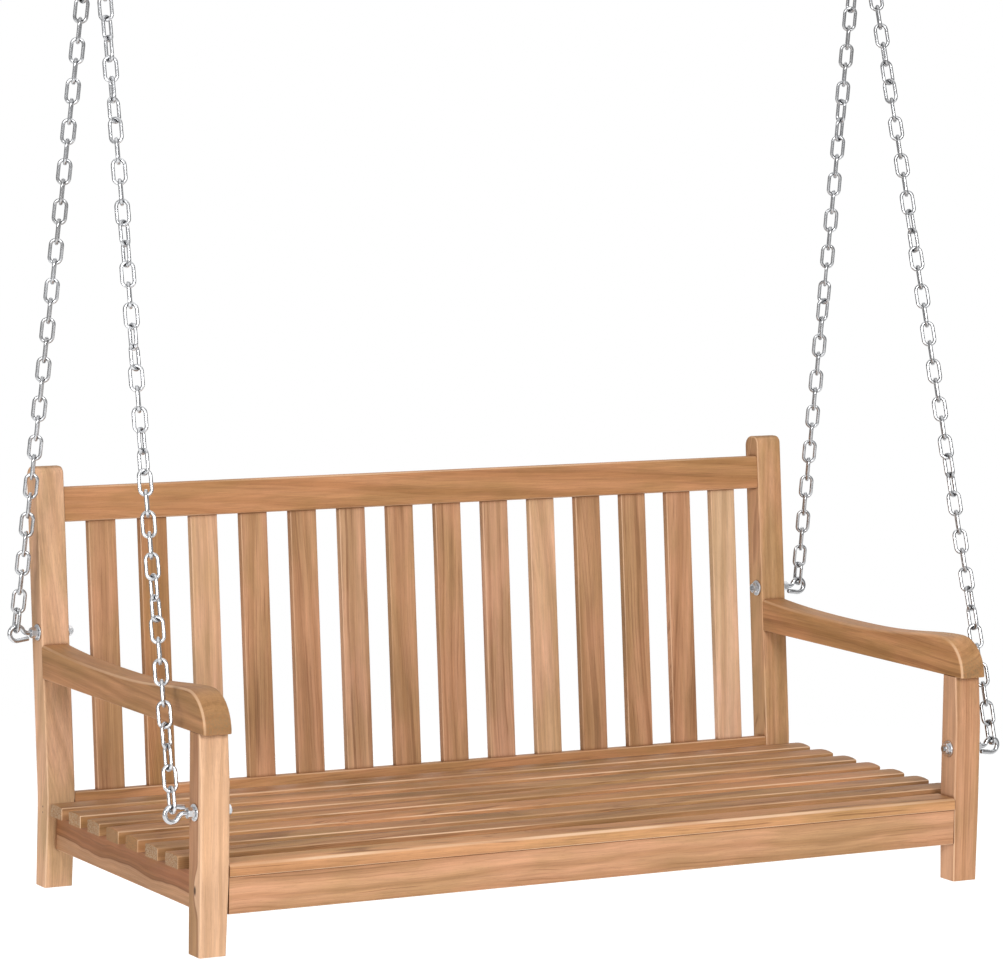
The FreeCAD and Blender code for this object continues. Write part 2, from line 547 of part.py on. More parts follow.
def build():
    os.makedirs("parts", exist_ok=True)

    rear = rear_post()
    front = front_post()
    rail = side_rail(rear)
    top_rail = back_rail(TOP_RAIL_LOW, TOP_RAIL_HIGH, TOP_RAIL_EASE)
    lower_rail = back_rail(LOWER_RAIL_LOW, LOWER_RAIL_HIGH, LOWER_RAIL_EASE)
    apron = tenoned_rail(INNER_X, (APRON_Y, APRON_Y + RAIL_T), (RAIL_LOW, APRON_TOP), RAIL_EASE)
    rear_rail = tenoned_rail(
        INNER_X, (REAR_RAIL_Y, REAR_RAIL_Y + REAR_RAIL_T), (RAIL_LOW, REAR_RAIL_HIGH), RAIL_EASE)
    bearer = centre_bearer()

    back_slats = [back_slat(index) for index in range(BACK_SLATS)]
    seat_slats = [seat_slat(index) for index in range(SEAT_SLATS)] + [front_slat()]
    slat_middles = [LAST_SLAT_Y - index * SEAT_SLAT_PITCH + SEAT_SLAT_W / 2 for index in range(SEAT_SLATS)]

    # Screws up through the side rails and the bearer into each seat slat, and through the apron
    side_x = OUTER_X - SIDE_RAIL_INSET - RAIL_T / 2
    apron_y = APRON_Y + RAIL_T / 2
    side_screws = [slat_screw(side_x, y) for y in slat_middles]
    bearer_screws = [slat_screw(0, y) for y in slat_middles]
    apron_xs = [share * INNER_X for share in APRON_SCREWS]
    apron_screws = [slat_screw(x, apron_y) for x in apron_xs]
    rail = rail.cut(side_screws + [counterbore(side_x, y, RAIL_LOW) for y in slat_middles])
    bearer = bearer.cut(
        bearer_screws + [counterbore(0, y, BEARER_LOW) for y in slat_middles] + [front_slat(), lower_rail])
    apron = apron.cut(apron_screws + [counterbore(x, apron_y, RAIL_LOW) for x in apron_xs])
    apron = apron.cut(bearer)
    rear_rail = rear_rail.cut(bearer)
    for index in range(SEAT_SLATS):
        into = side_screws[index]
        seat_slats[index] = seat_slats[index].cut([into, mirrored(into), bearer_screws[index]])
    seat_slats[-1] = seat_slats[-1].cut(apron_screws)

    # Housings for the back slats, and mortises in the posts
    top_rail = top_rail.cut(back_slats)
    lower_rail = lower_rail.cut(back_slats)
    pins = [Part.makeCylinder(PIN_R, PIN_LENGTH, Vector(OUTER_X - PIN_LENGTH, PIN_Y, z), X_AXIS)
            for z in PIN_HEIGHTS]
    lower_rail = lower_rail.cut(pins + [mirrored(pin) for pin in pins])
    arm_rest = arm().cut([front, rear]).Solids[0]
    front = front.cut([apron, rail, Part.makeCylinder(
        BOLT_HOLE_R, POST_W, Vector(INNER_X, *FRONT_BOLT), X_AXIS)])
    rear = rear.cut([top_rail, lower_rail, rear_rail, rail] + pins + [Part.makeCylinder(
        BOLT_HOLE_R, POST_W, Vector(INNER_X, *REAR_BOLT), X_AXIS)])

    sides = {"right": lambda shape: shape, "left": mirrored}
    for side, placed in sides.items():
        save("front_post_" + side, placed(front))
        save("rear_post_" + side, placed(rear))
        save("arm_" + side, placed(arm_rest))
        save("side_rail_" + side, placed(rail))
    save("top_rail", top_rail)
    save("lower_back_rail", lower_rail)
    save("front_apron", apron)
    save("rear_seat_rail", rear_rail)
    save("centre_bearer", bearer)
    for index, slat in enumerate(back_slats):
        save("back_slat_%02d" % (index + 1), slat)
    for index, slat in enumerate(seat_slats):
        save("seat_slat_%d" % (index + 1), slat)

    # Hook bolts with their nuts and washers
    bolts = {"front": FRONT_BOLT, "rear": REAR_BOLT}
    for place, (y, z) in bolts.items():
        for side, placed in sides.items():
            name = place + "_" + side
            save("hook_bolt_" + name, placed(hook_bolt(y, z, name in TIPS_UP)))
    fixings = {
        "outer_washers": [washer(OUTER_X, *at) for at in bolts.values()],
        "outer_nuts": [nut(OUTER_X + WASHER_T, *at, OUTER_NUT_T) for at in bolts.values()],
        "inner_washers": [washer(INNER_X - WASHER_T, *at) for at in bolts.values()],
        "inner_nuts": [nut(INNER_X - WASHER_T - INNER_NUT_T, *at, INNER_NUT_T) for at in bolts.values()],
        "post_pins": pins,
        "slat_screws": side_screws,
    }
    for name, solids in fixings.items():
        solids = solids + [mirrored(solid) for solid in solids]
        if name == "slat_screws":
            solids += bearer_screws + apron_screws
        save(name, *solids)

    # Chains, rings and ceiling hooks
    chains = {
        "front_left": (FRONT_BOLT, 0.0, FRONT_LINKS, FRONT_LEFT_TURNS),
        "front_right": (FRONT_BOLT, 0.0, FRONT_LINKS, FRONT_RIGHT_TURNS),
        "rear_left": (REAR_BOLT, REAR_LEAD, REAR_LINKS, REAR_LEFT_TURNS),
        "rear_right": (REAR_BOLT, REAR_LEAD, REAR_LINKS, REAR_RIGHT_TURNS),
    }
    for name, (bolt, lead, count, turns) in chains.items():
        low, high = chain_ends(bolt, lead)
        if name.endswith("left"):
            low, high = (Vector(-end.x, end.y, end.z) for end in (low, high))
        save("chain_" + name, *chain(low, high, count, turns))
    ring = Part.makeTorus(RING_R, RING_WIRE_R, Vector(RING_X, RING_Y, RING_Z), X_AXIS)
    hook = ceiling_hook()
    for side, placed in sides.items():
        save("hanging_ring_" + side, placed(ring))
        save("ceiling_hook_" + side, placed(hook))


build()
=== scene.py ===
"""Looks for the hanging garden bench: sanded teak and zinc-plated steel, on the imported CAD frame.

Metres, in the CAD's frame: x to the viewer's right, y to the back, z up, feet of the bench at z = 0.
Every piece is a CAD node that keeps its shape. Each piece of wood gets its own board, cut from a
procedural log: rings round a pith, wandering along the grain, with fibres, pores and end grain.
"""

import math
import random
from collections import namedtuple

import bpy
from mathutils import Euler, Matrix, Vector


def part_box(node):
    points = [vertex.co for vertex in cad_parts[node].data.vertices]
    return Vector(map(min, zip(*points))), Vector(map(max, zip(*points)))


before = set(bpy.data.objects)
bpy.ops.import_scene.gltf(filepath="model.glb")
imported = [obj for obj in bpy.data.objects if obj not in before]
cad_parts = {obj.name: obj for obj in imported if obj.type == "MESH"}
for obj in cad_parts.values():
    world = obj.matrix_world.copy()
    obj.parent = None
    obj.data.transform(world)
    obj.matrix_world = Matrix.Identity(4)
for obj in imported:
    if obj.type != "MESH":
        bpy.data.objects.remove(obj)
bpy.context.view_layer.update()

# Camera
CAMERA_PLACE = Vector((-2.9617, -5.2905, 1.2192))
CAMERA_AZIMUTH = math.radians(-29.11)
CAMERA_ELEVATION = math.radians(6.34)
CAMERA_ROLL = math.radians(0.79)
CAMERA_LENS = 159.0            # mm, on Blender's usual sensor, which is 36 mm wide
CAMERA_SHIFT = 0.002

# Stage
FLOOR_DROP = 0.40              # the bench hangs this far above the floor
FLOOR_R = 4.0                  # it fades out at this distance
FLOOR_FADE = 0.5               # and starts to at this share of it
FLOOR_TONES = ((0.93, 0.93, 0.93), (0.95, 0.95, 0.95))
FLOOR_ROUGHNESS = 0.8
FLOOR_CLOUD_ROUGHNESS = 0.1    # what its clouds add
FLOOR_BUMP = 0.02
FLOOR_RELIEF = 0.001
FLOOR_SEED = 3.0
FLOOR_GLOW = 0.22
WHITE = (1, 1, 1, 1)
WALLS = 0.14                   # brightness of the surroundings at the sides
WALLS_MIRRORED = 0.42          # the same as glossy surfaces reflect them
CEILING = 1.4                  # and straight up
CEILING_START = 0.42           # sine of the height above the horizon where it starts to brighten

# Soft boxes: place, width, height and watts. All of them point at the same place.
SoftBox = namedtuple("SoftBox", "place width height power")
SOFT_BOXES = {
    "key": SoftBox((-1.0, -6.0, 2.8), 2.4, 1.8, 252),
    "fill": SoftBox((-7.0, -4.8, 1.8), 3.0, 3.0, 358),
    "rear": SoftBox((2.5, 5.0, 3.0), 5.0, 4.0, 75),
}
LIT_PLACE = Vector((0, 0, 0.3))

# Directions of the grain, as the turn that brings it onto a board's own x axis
RECLINE = math.radians(5.6)    # lean of the back
GRAIN = {
    "across": Euler((0, 0, 0)),
    "deep": Euler((0, 0, -math.pi / 2)),
    "upright": Euler((0, math.pi / 2, 0)),
    "reclined": Euler((RECLINE, math.pi / 2, 0)),
}

# The direction across a board that its rounded long edges turn away from
EDGE_SIDE = {"across": (0, 1, 0), "deep": (1, 0, 0), "upright": (1, 0, 0), "reclined": (1, 0, 0)}

# Teak tones: early wood, late wood
TONES = {
    "honey": ((0.490, 0.269, 0.146), (0.325, 0.163, 0.077)),
    "rose": ((0.550, 0.316, 0.189), (0.365, 0.192, 0.103)),
    "amber": ((0.440, 0.226, 0.104), (0.275, 0.130, 0.051)),
    "gold": ((0.490, 0.257, 0.116), (0.326, 0.157, 0.064)),
    "tan": ((0.450, 0.226, 0.103), (0.335, 0.154, 0.061)),
    "straw": ((0.520, 0.296, 0.159), (0.380, 0.199, 0.090)),
    "pale": ((0.620, 0.377, 0.231), (0.440, 0.252, 0.136)),
    "cream": ((0.680, 0.433, 0.288), (0.490, 0.291, 0.170)),
    "tawny": ((0.430, 0.230, 0.107), (0.236, 0.112, 0.046)),
    "russet": ((0.355, 0.157, 0.071), (0.225, 0.088, 0.035)),
}
# pale colour of the lighter rounded edges, from sanding and a painted highlight on the ridges
WORN_AND_HIGHLIGHT = (0.640, 0.430, 0.280)
STREAK = (0.175, 0.070, 0.027)
END_GRAIN = (0.195, 0.125, 0.060)
DRY_END = (0.400, 0.305, 0.205)  # end grain that has dried out and gone pale
KNOT = (0.065, 0.028, 0.012)
OLIVE = (0.96, 1.00, 0.88)     # tints that the wood drifts to
PINK = (1.03, 0.985, 1.03)

# Patterns: features per metre along x, y and z, a shift of the seed that keeps the patterns of a piece
# apart, layers of detail and how strong each further layer is
Pattern = namedtuple("Pattern", "scale shift detail roughness")

# Those of the wood, drawn out along the grain, which is a board's own x axis
STRAY = Pattern((1.8, 5.0, 5.0), 0.0, 3.0, 0.5)
FIBRE = Pattern((22.0, 750.0, 750.0), 0.0, 3.0, 0.6)
RIBBON = Pattern((9.0, 190.0, 190.0), 3.0, 3.0, 0.6)
PORE = Pattern((160.0, 2600.0, 2600.0), 0.0, 1.0, 0.5)
CLOUD = Pattern((6.0, 22.0, 22.0), 5.0, 3.0, 0.55)
FADE = Pattern((5.0, 20.0, 20.0), 9.0, 1.0, 0.5)
BREAK = Pattern((9.0, 60.0, 60.0), 12.0, 2.0, 0.5)
SPECKLE = Pattern((40.0, 480.0, 480.0), 2.0, 3.0, 0.65)

# Those of the steel and the floor
MOTTLE = Pattern((110.0, 110.0, 110.0), 0.0, 3.0, 0.6)
SCUFF = Pattern((900.0, 900.0, 260.0), 1.0, 2.0, 0.6)
PATCH = Pattern((14.0, 14.0, 14.0), 2.0, 1.0, 0.5)
FLOOR_CLOUD = Pattern((2.0, 2.0, 2.0), 0.0, 2.0, 0.5)

# Bands that follow the rings: features per ring, a factor on the seed and layers of detail
Bands = namedtuple("Bands", "per_ring shift detail")
BROAD_BANDS = Bands(0.30, 1.0, 3.5)
FINE_BANDS = Bands(2.6, 3.1, 3.0)
STREAK_BANDS = Bands(0.40, 7.3, 3.0)
LINE_BANDS = Bands(0.9, 5.7, 1.5)

# Values of a pattern, from 0 to 1, where its effect starts and where it is complete
MIDDLE = 0.5                   # what every pattern's values lie round
BROAD_RANGE = (0.30, 0.70)
DRIFT_RANGE = (0.36, 0.64)
PORE_RANGE = (0.60, 0.72)
STREAK_RANGE = (0.60, 0.68)
STREAK_FADE_RANGE = (0.42, 0.60)
LINE_REACH = 0.035             # how far from the middle value a fine line fades out
LINE_BREAK_RANGE = (0.46, 0.60)
CLOUD_RANGE = (0.28, 0.72)
RUBBED_AND_HIGHLIGHT_RANGE = (0.38, 0.62)
SPECKLE_RANGE = (0.34, 0.66)

# How strong the effects are
BROAD_SHARE = 0.60             # of late wood in a broad band
FINE_SHARE = 0.42              # and in a fine one
DRIFT = 0.8                    # to olive or pink
FIBRE_CONTRAST = 0.55
RIBBON_CONTRAST = 0.50
CLOUD_SHADES = (0.86, 1.10)
PORE_DARKNESS = 0.16
RUBBED_AND_HIGHLIGHT_SHARES = (0.35, 1.40)   # least and most of a board's edge lightening, from sanding and painted highlight
WORN_AND_HIGHLIGHT_SHARE = 0.8               # of the pale edge colour where an edge is lightest, from sanding and painted highlight
END_SHARE = 0.72               # of the end grain's colour at a board's ends

# Places on a board
SAP_FADE = 0.0015              # the width over which heartwood gives way to sapwood
RIM_WIDTH = 0.004              # and that over which the heartwood darkens before it
EDGE_TURN_RANGE = (0.27, 0.48)  # sine times cosine of an edge's turn from EDGE_SIDE, at most 0.5
END_TURN_RANGE = (0.75, 0.97)  # cosine of the surface's angle to the grain, at the ends
KNOT_LENGTH = 0.45             # a knot's radius across the grain as a share of that along it
KNOT_HEART = 0.35              # share of its radius that is fully dark
KNOT_REACH = 5                 # how far it pushes the rings, in its radii
KNOT_PUSH = 2.2                # and by how much, at its middle

# Surface of the teak
TEAK_ROUGHNESS = 0.50          # between the fibres
FIBRE_ROUGHNESS = 0.22         # what a fibre adds
END_ROUGHNESS = 0.2            # what end grain adds
RING_RELIEF = 0.5              # a fine band's height as a share of a fibre's
TEAK_RELIEF = 0.0004
TEAK_BUMP = 0.35
TEAK_GLOSS = 0.24

# Painted shade where another piece is near: by how open the surface is, how dark it gets there and its
# colour
CreviceShade = namedtuple("CreviceShade", "closed open darkness colour")
CREVICE_SHADE_REACH = 0.006
CREVICE_SHADE_RAYS = 6
TEAK_CREVICE_SHADE = CreviceShade(0.45, 0.92, 0.92, STREAK)
STEEL_CREVICE_SHADE = CreviceShade(0.15, 0.75, 0.9, (0.10, 0.10, 0.11))

# Steel
ZINC = (0.84, 0.85, 0.87)
DULL_SHARE = 0.72              # of the bright zinc's brightness, in the mottling's dull parts
GREY_FILM = (0.36, 0.355, 0.35)
MOTTLE_RANGE = (0.35, 0.70)
SCUFF_RANGE = (0.55, 0.75)
PATCH_RANGE = (0.40, 0.70)
MOTTLE_ROUGHNESS = 0.12        # what the mottling adds
SCUFF_ROUGHNESS = 0.08         # what a scuff adds
STEEL_RELIEF = 0.0002
STEEL_BUMP = 0.06
STEEL_SEED = 1.7               # per letter of the node's name

# Each zinc-plated node: brightness as a share of ZINC, roughness and how strong its dull patches are
Plating = namedtuple("Plating", "share roughness grime")
PLATINGS = {
    "chain_front_left": Plating(0.76, 0.20, 0.1),
    "chain_front_right": Plating(0.57, 0.20, 0.3),
    "chain_rear_left": Plating(0.67, 0.20, 0.6),
    "chain_rear_right": Plating(0.61, 0.20, 0.5),
    "hook_bolt_front_left": Plating(0.74, 0.16, 0.0),
    "hook_bolt_front_right": Plating(0.56, 0.16, 0.0),
    "hook_bolt_rear_left": Plating(0.74, 0.16, 0.0),
    "hook_bolt_rear_right": Plating(0.56, 0.16, 0.0),
    "hanging_ring_left": Plating(0.92, 0.12, 0.0),
    "hanging_ring_right": Plating(0.92, 0.12, 0.0),
    "ceiling_hook_left": Plating(0.90, 0.15, 0.0),
    "ceiling_hook_right": Plating(0.90, 0.15, 0.0),
    "outer_nuts": Plating(0.95, 0.22, 0.0),
    "inner_nuts": Plating(0.95, 0.22, 0.0),
    "outer_washers": Plating(0.95, 0.22, 0.0),
    "inner_washers": Plating(0.95, 0.22, 0.0),
}

# The other metals: bright colour, dull colour, roughness and seed
SCREW_METAL = ((0.42, 0.39, 0.36), (0.22, 0.19, 0.17), 0.35, 11.0)
PIN_METAL = ((0.16, 0.11, 0.08), (0.08, 0.05, 0.035), 0.45, 9.0)

# What is drawn for a log: its seed, where the pith is from the board's middle on the board's own y and
# z axes, the latter to either side, how wide a growth ring is, and how far the board leaves it per metre
DRAW_SEED = 7                  # of the draws themselves
SEEDS = (0.0, 40.0)
PITH_Y = (-0.05, 0.05)
PITH_Z = (0.04, 0.10)
RING_WIDTHS = (0.0032, 0.0055)
SLOPE_Y = (-0.05, 0.05)
SLOPE_Z = (-0.06, 0.06)

# How dark the back slats' streaks and lines are, which is less in the palest tones
FAINT_TONES = ("pale", "cream")
FAINT_MARKS = 0.15
CLEAR_MARKS = 0.45

# Each back slat's tone, from left to right
BACK_SLATS = ("honey", "amber", "pale", "honey", "honey", "rose", "honey",
              "honey", "rose", "pale", "honey", "honey", "honey", "cream")

# Each seat slat's tone and how pale its end grain is, from back to front
SEAT_SLATS = (("tawny", 0.9), ("amber", 0.9), ("tawny", 0.8), ("amber", 0.2), ("tan", 0.0), ("tawny", 1.0),
              ("tawny", 0.9), ("gold", 0.5))


# ---------------------------------------------------------------- shader graph helper

class Graph:
    """A material's node tree, with short calls that add a node and link its inputs."""

    def __init__(self, name):
        self.material = bpy.data.materials.new(name)
        self.material.use_nodes = True
        self.tree = self.material.node_tree
        self.tree.nodes.clear()

    def add(self, kind, inputs=None, **settings):
        node = self.tree.nodes.new("ShaderNode" + kind)
        for key, value in settings.items():
            setattr(node, key, value)
        for key, value in (inputs or {}).items():
            self.feed(node.inputs[key], value)
        return node

    def feed(self, socket, value):
        if isinstance(value, bpy.types.NodeSocket):
            self.tree.links.new(value, socket)
        elif isinstance(value, tuple) and len(value) == 3 and socket.type == "RGBA":
            socket.default_value = (*value, 1.0)
        else:
            socket.default_value = value

    def math(self, operation, *values):
        node = self.add("Math", operation=operation)
        for socket, value in zip(node.inputs, values):
            self.feed(socket, value)
        return node.outputs[0]

    def vector(self, operation, *values):
        node = self.add("VectorMath", operation=operation)
        for socket, value in zip(node.inputs, values):
            self.feed(socket, value)
        return node.outputs["Value"] if operation in ("LENGTH", "DOT_PRODUCT") else node.outputs[0]

    def noise(self, place, pattern, seed, output="Fac"):
        inputs = {"Vector": self.vector("MULTIPLY", place, pattern.scale), "W": seed + pattern.shift,
                  "Scale": 1.0, "Detail": pattern.detail, "Roughness": pattern.roughness}
        return self.add("TexNoise", inputs, noise_dimensions="4D").outputs[output]

    def line_noise(self, place, detail):
        """Noise along one number."""
        inputs = {"W": place, "Scale": 1.0, "Detail": detail}
        return self.add("TexNoise", inputs, noise_dimensions="1D").outputs["Fac"]

    def span(self, value, low, high, to_low=0.0, to_high=1.0):
        """Runs smoothly from to_low to to_high as value goes from low to high."""
        inputs = {"Value": value, "From Min": low, "From Max": high, "To Min": to_low, "To Max": to_high}
        return self.add("MapRange", inputs, interpolation_type="SMOOTHSTEP").outputs[0]

    def mix(self, factor, first, second, blend="MIX"):
        """Mixes two colours. The mixer's sockets share their names, so they are found by type."""
        node = self.add("Mix", data_type="RGBA", blend_type=blend)
        colours = [socket for socket in node.inputs if socket.type == "RGBA"]
        self.feed(node.inputs[0], factor)
        self.feed(colours[0], first)
        self.feed(colours[1], second)
        return next(socket for socket in node.outputs if socket.type == "RGBA")

    # Paints shade into the colour where another surface is near, in the gaps and corners between parts
    def paint_crevice_shade(self, colour, crevice_shade):
        inputs = {"Distance": CREVICE_SHADE_REACH}
        openness = self.add("AmbientOcclusion", inputs, samples=CREVICE_SHADE_RAYS).outputs["AO"]
        share = self.span(openness, crevice_shade.closed, crevice_shade.open, crevice_shade.darkness, 0.0)
        return self.mix(share, colour, crevice_shade.colour)

    def finish(self, colour, roughness, height, bump, relief, metallic=0.0, gloss=0.5):
        """Ends the tree in a surface whose colour, roughness and relief come from the nodes."""
        normal = self.add("Bump", {"Height": height, "Strength": bump, "Distance": relief}).outputs[0]
        shader = self.add("BsdfPrincipled", {
            "Base Color": colour, "Roughness": roughness, "Metallic": metallic,
            "Specular IOR Level": gloss, "Normal": normal,
        })
        output = self.add("OutputMaterial")
        self.tree.links.new(shader.outputs[0], output.inputs["Surface"])
        return self.material


# ---------------------------------------------------------------- teak

class Board(Graph):
    """The look of one piece of teak, cut from its own log.

    ring is the width of a growth ring. radius, the distance from the log's pith, is what the rings follow.
    """

    def __init__(self, node, grain, tone, seed, ring):
        super().__init__("teak_" + node)
        self.seed = seed
        self.ring = ring
        self.edge_side = EDGE_SIDE[grain]
        self.early, self.late = TONES[tone]
        self.turn = GRAIN[grain].to_matrix()
        low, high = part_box(node)
        self.centre = self.turn @ ((low + high) / 2)
        coords = self.add("TexCoord")
        self.normal = coords.outputs["Normal"]
        self.place = self.add("Mapping", {
            "Vector": coords.outputs["Object"], "Rotation": GRAIN[grain], "Location": -self.centre,
        }).outputs[0]

    def drawn_out(self, pattern, output="Fac"):
        """Noise that is drawn out along the grain."""
        return self.noise(self.place, pattern, self.seed, output)

    def ringed(self, bands):
        """Noise that follows the rings."""
        shift = self.seed * bands.shift
        place = self.math("MULTIPLY_ADD", self.radius, bands.per_ring / self.ring, shift)
        return self.line_noise(place, bands.detail)

    def grow_rings(self, pith, slope, wander, waves):
        """pith is the log's middle from the board's own, on the board's y and z axes.

        slope is how far the board leaves the pith on those two, per metre along the grain. wander is
        how far the rings stray, and waves how often, per metre.
        """
        stray = self.drawn_out(STRAY._replace(scale=(waves, *STRAY.scale[1:])), "Color")
        stray = self.vector("SUBTRACT", stray, (MIDDLE, MIDDLE, MIDDLE))
        stray = self.vector("MULTIPLY", stray, (0.0, wander, wander))
        across = self.vector("MULTIPLY", self.place, (0.0, 1.0, 1.0))
        across = self.vector("SUBTRACT", across, (0.0, *pith))
        along = self.add("SeparateXYZ", {"Vector": self.place}).outputs[0]
        lean = self.add("CombineXYZ", {"Y": along, "Z": along}).outputs[0]
        across = self.vector("ADD", across, self.vector("MULTIPLY", lean, (0.0, *slope)))
        self.radius = self.vector("LENGTH", self.vector("ADD", across, stray))

    def grow_knots(self, knots):
        """Pushes the rings aside round each knot, and returns how dark each knot makes the wood."""
        marks = []
        for place, size, darkness in knots:
            spot = self.turn @ Vector(place) - self.centre
            apart = self.vector("SUBTRACT", self.place, tuple(spot))
            apart = self.vector("LENGTH", self.vector("MULTIPLY", apart, (KNOT_LENGTH, 1.0, 1.0)))
            push = self.span(apart, 0.0, size * KNOT_REACH, size * KNOT_PUSH, 0.0)
            self.radius = self.math("ADD", self.radius, push)
            marks.append(self.span(apart, size * KNOT_HEART, size, darkness, 0.0))
        return marks

    def band_tone(self, fine):
        """How far the wood is from early to late."""
        broad = self.span(self.ringed(BROAD_BANDS), *BROAD_RANGE)
        return self.math("MULTIPLY_ADD", broad, BROAD_SHARE, self.math("MULTIPLY", fine, FINE_SHARE))

    def drift(self, colour, cloud):
        """Gives stretches of the board an olive or a pink cast."""
        tint = self.mix(self.span(cloud, *DRIFT_RANGE), OLIVE, PINK)
        return self.mix(DRIFT, colour, self.mix(1.0, colour, tint, "MULTIPLY"))

    def add_streaks(self, colour, fade, darkness):
        """Dark mineral streaks follow some of the rings and fade in and out."""
        share = self.span(self.ringed(STREAK_BANDS), *STREAK_RANGE)
        fading = self.span(fade, *STREAK_FADE_RANGE, 0.0, darkness)
        return self.mix(self.math("MULTIPLY", share, fading), colour, STREAK)

    def add_lines(self, colour, darkness):
        """Fine dark lines run where some of the rings end."""
        apart = self.math("ABSOLUTE", self.math("SUBTRACT", self.ringed(LINE_BANDS), MIDDLE))
        share = self.span(apart, 0.0, LINE_REACH, darkness, 0.0)
        unbroken = self.span(self.drawn_out(BREAK), *LINE_BREAK_RANGE)
        return self.mix(self.math("MULTIPLY", share, unbroken), colour, STREAK)

    def add_sapwood(self, colour, band_tone, edge, tone, rim):
        """Past the edge, which is a distance from the pith, paler sapwood follows a dark rim."""
        outside = self.span(self.radius, edge, edge + SAP_FADE)
        inner = self.span(self.radius, edge - RIM_WIDTH, edge)
        border = self.math("SUBTRACT", inner, self.math("MULTIPLY", inner, outside))
        colour = self.mix(outside, colour, self.mix(band_tone, *TONES[tone]))
        return self.mix(self.math("MULTIPLY", border, rim), colour, STREAK)

    def shade(self, colour, fibre, pore, cloud):
        """Fibres, ribbons, pores and clouds make the wood lighter and darker."""
        apart = self.math("SUBTRACT", fibre, MIDDLE)
        shade = self.math("MULTIPLY_ADD", apart, FIBRE_CONTRAST, 1.0)
        apart = self.math("SUBTRACT", self.drawn_out(RIBBON), MIDDLE)
        shade = self.math("MULTIPLY_ADD", apart, RIBBON_CONTRAST, shade)
        shade = self.math("MULTIPLY", shade, self.span(cloud, *CLOUD_RANGE, *CLOUD_SHADES))
        shade = self.math("MULTIPLY", shade, self.math("MULTIPLY_ADD", pore, -PORE_DARKNESS, 1.0))
        shades = self.add("CombineXYZ", {"X": shade, "Y": shade, "Z": shade}).outputs[0]
        return self.vector("MULTIPLY", colour, shades)

    def paint_edge_wear_and_highlight(self, colour, fade, wear_and_highlight):
        """Sanding and a painted highlight on the ridges make the rounded edges lighter, in stretches."""
        side = self.math("ABSOLUTE", self.vector("DOT_PRODUCT", self.normal, self.edge_side))
        other_side = self.math("SQRT", self.math("SUBTRACT", 1.0, self.math("MULTIPLY", side, side)))
        edge = self.span(self.math("MULTIPLY", side, other_side), *EDGE_TURN_RANGE)
        rubbed_and_highlight = self.span(fade, *RUBBED_AND_HIGHLIGHT_RANGE, *(wear_and_highlight * share for share in RUBBED_AND_HIGHLIGHT_SHARES))
        worn_and_highlight = self.mix(WORN_AND_HIGHLIGHT_SHARE, self.early, WORN_AND_HIGHLIGHT)
        return self.mix(self.math("MULTIPLY", edge, rubbed_and_highlight), colour, worn_and_highlight)

    def end_share(self):
        """1 where the surface is a board's end, 0 on its sides."""
        grain_way = tuple(self.turn.inverted() @ Vector((1, 0, 0)))
        facing = self.vector("DOT_PRODUCT", self.normal, grain_way)
        return self.span(self.math("ABSOLUTE", facing), *END_TURN_RANGE)

    def add_end_grain(self, colour, end, dry):
        speckle = self.span(self.drawn_out(SPECKLE), *SPECKLE_RANGE)
        end_colour = self.mix(speckle, self.mix(dry, END_GRAIN, DRY_END), self.late)
        return self.mix(self.math("MULTIPLY", end, END_SHARE), colour, end_colour)


def teak(node, grain, tone, seed, pith, ring, slope=(0.0, 0.0), wander=0.045, waves=STRAY.scale[0],
         streaks=0.5, lines=0.5, edges=0.5, dry=0.0, sap=None, rim=0.55, knots=()):
    """One board of teak.

    pith, slope, wander and waves are those of grow_rings. streaks and lines are how dark the mineral
    streaks and the lines between rings are, edges is how much lighter the rounded edges are, from sanding
    and a painted highlight on the ridges, and dry how pale the end grain is. sap is the distance from the
    pith where the sapwood starts, and its tone. rim is how dark the line between the two is. Each knot is
    a place in the frame, a radius and how dark it is.
    """
    board = Board(node, grain, tone, seed, ring)
    board.grow_rings(pith, slope, wander, waves)
    knot_marks = board.grow_knots(knots)
    fine = board.ringed(FINE_BANDS)
    fibre = board.drawn_out(FIBRE)
    pore = board.span(board.drawn_out(PORE), *PORE_RANGE)
    cloud = board.drawn_out(CLOUD)
    fade = board.drawn_out(FADE)
    band_tone = board.band_tone(fine)
    end = board.end_share()

    colour = board.mix(band_tone, board.early, board.late)
    colour = board.drift(colour, cloud)
    colour = board.add_streaks(colour, fade, streaks)
    colour = board.add_lines(colour, lines)
    if sap is not None:
        colour = board.add_sapwood(colour, band_tone, *sap, rim)
    colour = board.shade(colour, fibre, pore, cloud)
    # lighter rounded edges: sanding, and a painted highlight on the ridges
    colour = board.paint_edge_wear_and_highlight(colour, fade, edges)
    colour = board.add_end_grain(colour, end, dry)
    for mark in knot_marks:
        colour = board.mix(mark, colour, KNOT)
    # painted shade in the gaps and corners where the pieces meet
    colour = board.paint_crevice_shade(colour, TEAK_CREVICE_SHADE)

    roughness = board.math("MULTIPLY_ADD", fibre, FIBRE_ROUGHNESS, TEAK_ROUGHNESS)
    roughness = board.math("MULTIPLY_ADD", end, END_ROUGHNESS, roughness)
    height = board.math("MULTIPLY_ADD", fine, RING_RELIEF, board.math("SUBTRACT", fibre, pore))
    return board.finish(colour, roughness, height, TEAK_BUMP, TEAK_RELIEF, gloss=TEAK_GLOSS)


# ---------------------------------------------------------------- steel

